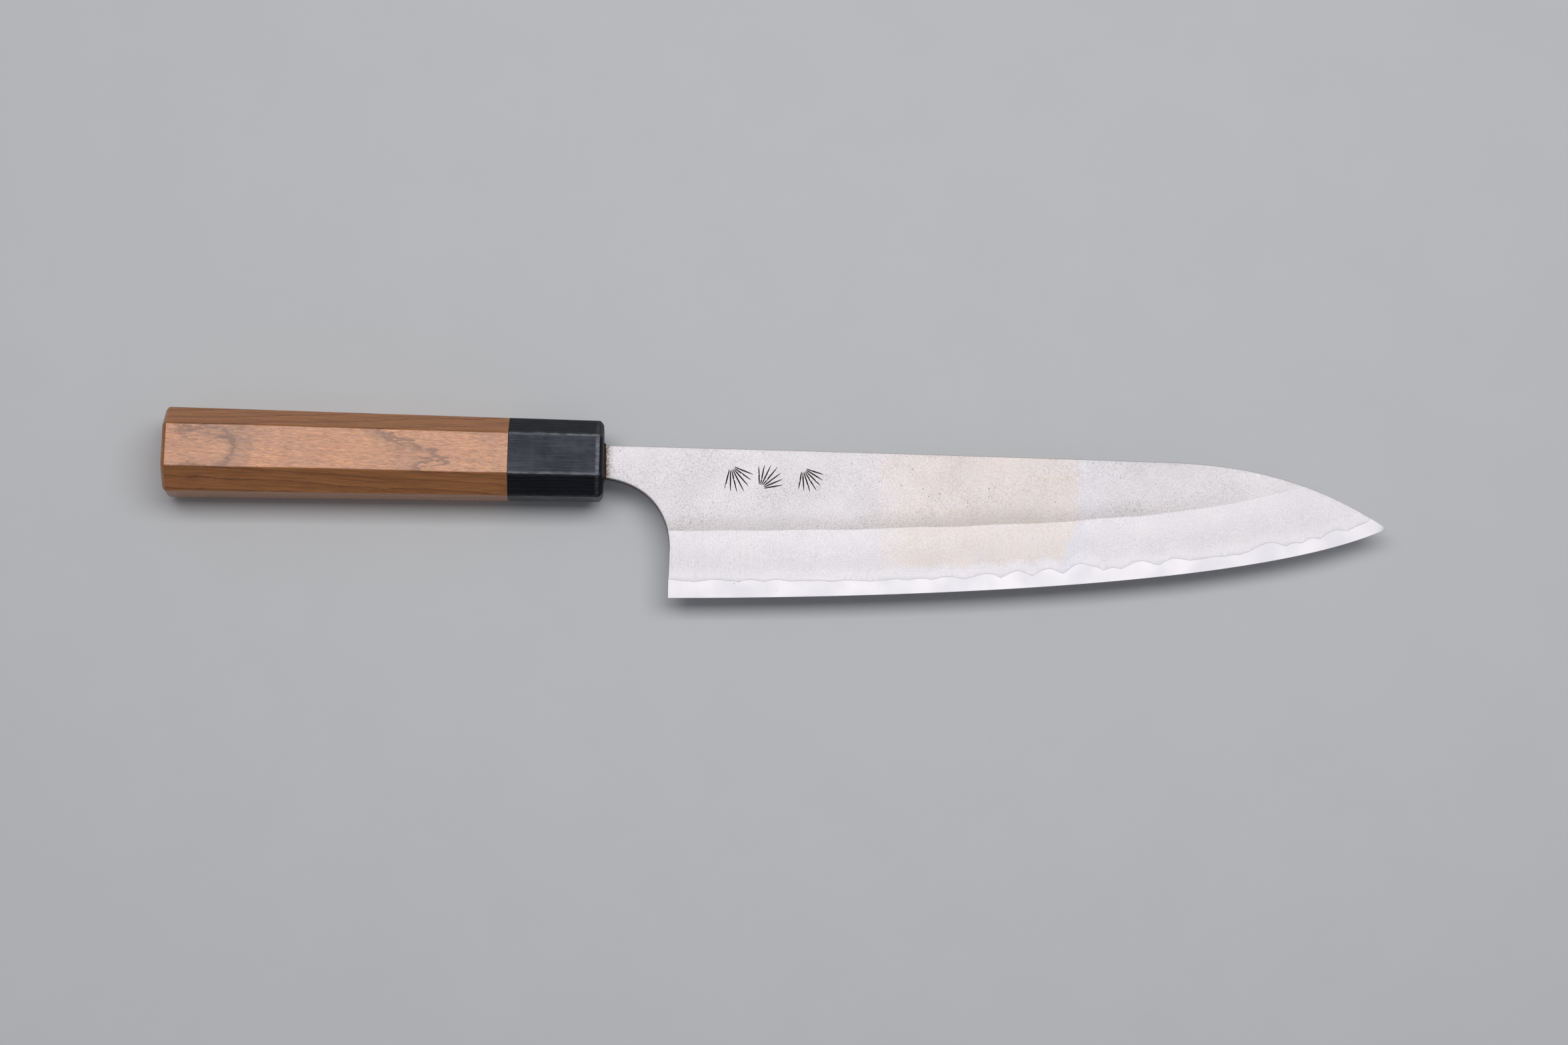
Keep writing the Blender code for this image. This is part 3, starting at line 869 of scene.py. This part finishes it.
def cladding_material():
    """Pear skin above the ridge, satin ground bevel below it, and stains by the neck."""
    g = Graph("pear_skin_and_bevel")
    mm = g.millimetres()
    x, _, _ = g.split(mm)
    ridge, line, mark = g.value("ridge"), g.value("line"), g.value("mark")
    upper = g.ease(ridge, -0.10, 0.10)
    skin, grain, relief = pear_skin(g, mm, x, ridge)
    ground, streaks = ground_steel(g, mm, x, ridge, line)
    skin = g.mix(g.ease(x, 175.0, 207.0, 0.0, 0.45), skin, ground)
    # Painted reflections: the warm patch and the cooler steel in front of it.
    colour = painted_reflections(g, mm, x, ridge, line, g.mix(upper, ground, skin))
    blotch = g.noise(mm, 1.3, 4.0, 0.7)
    stain = g.ease(g.math("SUBTRACT", x, g.times(blotch, 7.0)), -3.6, -0.6, 0.8, 0.0)
    colour = g.mix(stain, colour, STAIN_TONE)
    colour = g.mix(g.ease(line, 0.0, 0.12, 0.16, 0.0), colour, (0.42, 0.40, 0.37))
    # Painted shade on the walls that look back or down, such as the choil.
    colour = g.mix(g.times(g.shaded_walls(), CHOIL_SHADE_SHARE), colour, CHOIL_SHADE_TONE)
    cut = g.ease(mark, 0.05, 0.45)
    colour = g.mix(cut, colour, CUT_TONE)
    rough = g.plus(g.ease(upper, 0.0, 1.0, 0.60, 0.57), g.ease(grain, 0.3, 0.7, -0.03, 0.04))
    rough = g.plus(rough, g.times(cut, 0.2))
    height = g.plus(g.times(relief, upper), g.times(streaks, 0.30))
    return g.finish(colour, rough, g.bump(height, 0.16, 0.00003), 1.0)


def core_material():
    """Bright finely polished hard steel, with a few pits near the heel's edge."""
    g = Graph("polished_core")
    mm = g.millimetres()
    line = g.value("line")
    polish = g.noise(g.millimetres((2.4, 0.12, 1)), 1.0, 2.0, 0.6)
    clouds = g.noise(mm, 0.09, 2.0, 0.5)
    colour = g.mix(g.ease(clouds, 0.3, 0.7), (0.87, 0.835, 0.86), (0.845, 0.82, 0.855))
    colour = g.mix(g.ease(polish, 0.5, 0.8, 0.0, 0.12), colour, (0.70, 0.68, 0.70))
    distance, number = g.cells(mm, 0.8)
    pit = g.times(g.ease(distance, 0.10, 0.22, 1.0, 0.0), g.ease(number, 0.90, 0.93))
    heel = g.times(pit, g.ease(g.place_x(), 40.0, 60.0, 1.0, 0.0))
    colour = g.mix(g.times(heel, 0.8), colour, (0.16, 0.13, 0.12))
    seam = g.ease(line, -0.10, 0.0, 0.0, 0.12)
    colour = g.mix(seam, colour, (0.42, 0.40, 0.38))
    # Painted shade on the walls that look back or down, such as the choil.
    colour = g.mix(g.times(g.shaded_walls(), CHOIL_SHADE_SHARE), colour, CHOIL_SHADE_TONE)
    rough = g.ease(clouds, 0.3, 0.7, 0.56, 0.60)
    height = g.math("SUBTRACT", g.times(polish, 0.4), heel)
    return g.finish(colour, rough, g.bump(height, 0.15, 0.00003), 1.0)


# Where the tree's pith runs, beside and below the handle, and how the fibres turn from X.
PITH_DEPTH, PITH_RISE = 58.0, 0.05
PITH_SIDE, PITH_SLANT = 8.4, 0.077
RING_WIDTH, RING_SHIFT = 2.17, 0.55
FIBRE_TURN = (0, 1.0, 2.6)

# Of wood, the colours of light fibres, dark fibres and late wood. Of resin, thin and thick.
CHERRY = ((0.53, 0.210, 0.066), (0.33, 0.115, 0.034), (0.14, 0.045, 0.015))
DOWEL_WOOD = ((0.60, 0.44, 0.27), (0.48, 0.33, 0.18), (0.36, 0.23, 0.12))
DARK_RESIN = ((0.070, 0.032, 0.017), (0.022, 0.011, 0.007))
AMBER_RESIN = ((0.42, 0.31, 0.14), (0.30, 0.21, 0.09))


def wood(g, light, dark, late, shine):
    """Growth rings round a far pith, fine ring lines, short fibres, pores and a cloudy shimmer.

    Returns the colour, the fibres, the pores, the rings and the shimmer.
    """
    sway = g.noise(g.millimetres((0.030, 0.07, 0.07)), 1.0, 2.0, 0.5)
    ragged = g.noise(g.millimetres((0.24, 0.9, 0.4), turn=FIBRE_TURN), 1.0, 3.0, 0.65)
    x, y, z = g.split(g.millimetres())
    across = g.plus(g.plus(y, PITH_SIDE), g.times(x, PITH_SLANT))
    up = g.plus(g.plus(z, PITH_DEPTH), g.times(x, PITH_RISE))
    radius = g.math("SQRT", g.plus(g.times(across, across), g.times(up, up)))
    radius = g.plus(radius, g.math("MULTIPLY_ADD", sway, 2.4, RING_SHIFT))
    radius = g.plus(radius, g.times(ragged, 0.65))
    phase = g.math("FRACT", g.math("DIVIDE", radius, RING_WIDTH))
    ring = g.times(g.ease(phase, 0.88, 0.975), g.ease(phase, 0.98, 0.995, 1.0, 0.0))
    band = g.ease(phase, 0.2, 0.97)
    lines = g.noise(g.join(g.times(x, 0.012), g.times(radius, 2.6), 0.0), 1.0, 3.0, 0.6)
    fibre = g.noise(g.millimetres((0.42, 4.6, 4.6), turn=FIBRE_TURN), 1.0, 2.5, 0.6)
    streak = g.noise(g.millimetres((0.07, 1.7, 1.7), turn=FIBRE_TURN), 1.0, 2.0, 0.5)
    cloud = g.noise(g.millimetres((0.055, 0.13, 0.13), turn=FIBRE_TURN), 1.0, 2.0, 0.55)
    pore_noise = g.noise(g.millimetres((0.5, 7.5, 7.5), turn=FIBRE_TURN), 1.0, 1.0, 0.5)
    pore = g.ease(pore_noise, 0.66, 0.76)
    colour = g.mix(g.ease(streak, 0.35, 0.65, 0.0, 0.55), light, dark)
    colour = g.mix(g.times(band, 0.14), colour, late)
    colour = g.mix(g.times(ring, 0.72), colour, late)
    colour = g.mix(g.ease(lines, 0.50, 0.70, 0.0, 0.50), colour, late)
    colour = g.mix(g.ease(fibre, 0.45, 0.72, 0.0, 0.52), colour, dark)
    colour = g.mix(g.ease(cloud, 0.60, 0.76, 0.0, 0.30), colour, late)
    colour = g.mix(g.times(pore, 0.40), colour, late)
    glow = g.plus(g.ease(fibre, 0.35, 0.62, 0.95, 0.40), g.ease(cloud, 0.30, 0.62, 0.35, 0.0))
    return colour, fibre, pore, ring, g.times(glow, shine)


def cherry_material():
    """Oiled cherry for the handle, with a soft shimmer."""
    g = Graph("oiled_cherry")
    colour, fibre, pore, ring, glow = wood(g, *CHERRY, 0.19)
    rough = g.plus(g.ease(fibre, 0.3, 0.7, 0.25, 0.36), g.times(ring, 0.05))
    height = g.math("SUBTRACT", g.times(fibre, -0.6), pore)
    g.put((0.97, 0.95, 0.96), g.shader.inputs["Specular Tint"])
    return g.finish(colour, rough, g.bump(height, 0.22, 0.00004), glow, 1.0)


def ferrule_material():
    """Black resin-bonded wood: thin dark sheets stacked along Z, with a fine grain along X."""
    g = Graph("black_laminate")
    warp = g.noise(g.millimetres((0.04, 0.15, 0.4)), 1.0, 2.0, 0.5)
    _, _, up = g.split(g.millimetres())
    level = g.plus(g.times(up, 1.25), g.times(warp, 1.1))
    sheet = g.math("PINGPONG", level, 0.5)
    glue = g.ease(sheet, 0.10, 0.22, 1.0, 0.0)
    grain = g.noise(g.millimetres((0.10, 2.4, 2.4), turn=(0, 0, -1.5)), 1.0, 3.0, 0.62)
    scratches = g.noise(g.millimetres((0.05, 7.0, 7.0), turn=(0, 0, 2.5)), 1.0, 2.0, 0.7)
    x = g.place_x()
    # Painted highlight: a light band just behind the front end and along the rounded edges, on faces that
    # look up or down, broken up by noise.
    front = g.times(g.ease(x, -2.6, -1.7), g.ease(x, -1.3, -0.9, 1.0, 0.0))
    facing = g.math("ABSOLUTE", g.split(g.add("ShaderNodeNewGeometry").outputs["Normal"])[2])
    edge_highlight = g.times(g.math("MAXIMUM", g.value("painted_highlight"), front), g.ease(facing, 0.6, 0.95))
    highlight_breakup = g.noise(g.millimetres((0.3, 0.8, 0.8)), 1.0, 2.0, 0.6)
    edge_highlight = g.times(edge_highlight, g.ease(highlight_breakup, 0.35, 0.65, 0.35, 1.0))
    smudge = g.noise(g.millimetres((0.16, 0.11, 0.11)), 1.0, 3.0, 0.6)
    colour = g.mix(g.ease(grain, 0.35, 0.75), (0.003, 0.0033, 0.0045), (0.010, 0.0115, 0.016))
    colour = g.mix(glue, colour, (0.002, 0.002, 0.003))
    # The painted highlight's light grey.
    colour = g.mix(g.times(edge_highlight, 0.75), colour, (0.27, 0.27, 0.285))
    rough = g.plus(g.ease(grain, 0.30, 0.70, 0.28, 0.40), g.ease(scratches, 0.48, 0.75, 0.0, 0.14))
    rough = g.plus(rough, g.ease(smudge, 0.35, 0.65, -0.04, 0.06))
    height = g.plus(g.times(glue, -1.2), g.times(grain, 0.5))
    height = g.plus(height, g.times(scratches, -0.3))
    g.put((0.78, 0.82, 1.0), g.shader.inputs["Specular Tint"])
    return g.finish(colour, rough, g.bump(height, 0.45, 0.00006), 0.0, 0.36)


def resin_material(name, thin, thick):
    """Hardened glue or lacquer that varies between two colours."""
    g = Graph(name)
    mm = g.millimetres()
    flow = g.noise(mm, 0.9, 4.0, 0.6)
    colour = g.mix(g.ease(flow, 0.35, 0.7), thin, thick)
    rough = g.ease(g.noise(mm, 3.0, 3.0, 0.6), 0.3, 0.7, 0.28, 0.5)
    return g.finish(colour, rough, g.bump(flow, 0.5, 0.0001))


def dowel_material():
    """Plain pale wood for the hidden dowel."""
    g = Graph("turned_dowel")
    colour, fibre, pore, _, glow = wood(g, *DOWEL_WOOD, 0.04)
    height = g.math("SUBTRACT", fibre, pore)
    return g.finish(colour, g.ease(fibre, 0.3, 0.7, 0.5, 0.65), g.bump(height, 0.3, 0.00005), glow)


# ---------------------------------------------------------------- stage, light and camera

# The photo's view: distances in metres, angles in degrees, lens and sensor in millimetres.
VIEW_DISTANCE = 0.8898
VIEW_ROLL, VIEW_PITCH, VIEW_TWIST = 11.32, 2.2, 1.24
VIEW_OFFSET = (-0.05263, 0.01780)
LENS, SENSOR = 70.0, 36.0
FLOOR_SIZE, FLOOR_COUNT = 3.0, 24
SOFTBOX_PLACE, SOFTBOX_TARGET = (0.05, 0.20, 0.93), (0.05, 0.02, 0)
SOFTBOX_SIZE, SOFTBOX_POWER = (1.2, 0.42), 5.4
SKY_COLOUR = (0.86, 0.90, 0.97, 1)
SKY_LOW, SKY_HIGH, SKY_REACH = 0.12, 0.22, 0.8


def make_camera():
    """A long lens almost straight above the knife, tipped a little towards its edge."""
    roll = Matrix.Rotation(math.radians(VIEW_ROLL), 3, "X").transposed()
    pitch = Matrix.Rotation(math.radians(VIEW_PITCH), 3, "Y")
    twist = Matrix.Rotation(math.radians(VIEW_TWIST), 3, "Z").transposed()
    turned = (twist @ pitch @ roll).transposed()
    place = KNIFE + turned @ Vector((-VIEW_OFFSET[0], -VIEW_OFFSET[1], VIEW_DISTANCE))
    data = bpy.data.cameras.new("camera")
    data.lens = LENS
    data.sensor_width = SENSOR
    data.clip_start = 0.02
    camera = bpy.data.objects.new("camera", data)
    camera.matrix_world = Matrix.Translation(place) @ turned.to_4x4()
    bpy.context.scene.collection.objects.link(camera)
    bpy.context.scene.camera = camera


def make_floor():
    """A wide pale floor at the height of the CAD's lowest point."""
    mesh = bpy.data.meshes.new("floor")
    shape = bmesh.new()
    bmesh.ops.create_grid(shape, x_segments=FLOOR_COUNT, y_segments=FLOOR_COUNT, size=FLOOR_SIZE)
    shape.to_mesh(mesh)
    shape.free()
    floor = bpy.data.objects.new("floor", mesh)
    floor.location = (0, 0, CAD_BOX[0][2])
    bpy.context.scene.collection.objects.link(floor)
    g = Graph("pale_floor")
    soft = g.noise(g.place, 40.0, 3.0, 0.6)
    colour = g.mix(g.ease(soft, 0.3, 0.7), (0.725, 0.73, 0.74), (0.735, 0.74, 0.75))
    mesh.materials.append(g.finish(colour, 0.8, None, 0.0, 0.2))


def make_softbox():
    """One wide soft light above the knife, on its spine's side."""
    data = bpy.data.lights.new("overhead", "AREA")
    data.shape = "RECTANGLE"
    data.size, data.size_y = SOFTBOX_SIZE
    data.energy = SOFTBOX_POWER
    light = bpy.data.objects.new("overhead", data)
    light.location = SOFTBOX_PLACE
    facing = Vector(SOFTBOX_TARGET) - Vector(SOFTBOX_PLACE)
    light.rotation_euler = facing.to_track_quat("-Z", "Y").to_euler()
    bpy.context.scene.collection.objects.link(light)


def make_world():
    """Dim, slightly cool light from all round, brighter from above."""
    world = bpy.data.worlds.new("studio")
    world.use_nodes = True
    tree = world.node_tree
    place = tree.nodes.new("ShaderNodeTexCoord")
    split = tree.nodes.new("ShaderNodeSeparateXYZ")
    rise = tree.nodes.new("ShaderNodeMapRange")
    tree.links.new(place.outputs["Generated"], split.inputs[0])
    tree.links.new(split.outputs[2], rise.inputs[0])
    for socket, number in zip(rise.inputs[1:5], (0.0, SKY_REACH, SKY_LOW, SKY_HIGH)):
        socket.default_value = number
    background = tree.nodes["Background"]
    background.inputs["Color"].default_value = SKY_COLOUR
    tree.links.new(rise.outputs[0], background.inputs["Strength"])
    bpy.context.scene.world = world
    bpy.context.scene.view_settings.view_transform = "Standard"


# ---------------------------------------------------------------- the knife


def build():
    """Everything in the scene: stage, light, the visible pieces, and materials for the hidden ones."""
    make_camera()
    make_floor()
    make_softbox()
    make_world()
    cladding = cladding_material()
    make_core(core_material())
    make_cladding("cladding_right", 1, cladding, pine_fans())
    make_cladding("cladding_left", -1, cladding, [])
    make_ferrule(ferrule_material())
    make_handle_body(cherry_material())
    make_mouth_seal(resin_material("dark_resin", *DARK_RESIN))
    hidden = {
        "dowel": dowel_material(),
        "tang_adhesive": resin_material("amber_resin", *AMBER_RESIN),
    }
    for node, material in hidden.items():
        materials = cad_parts[node].data.materials
        materials.clear()
        materials.append(material)


build()
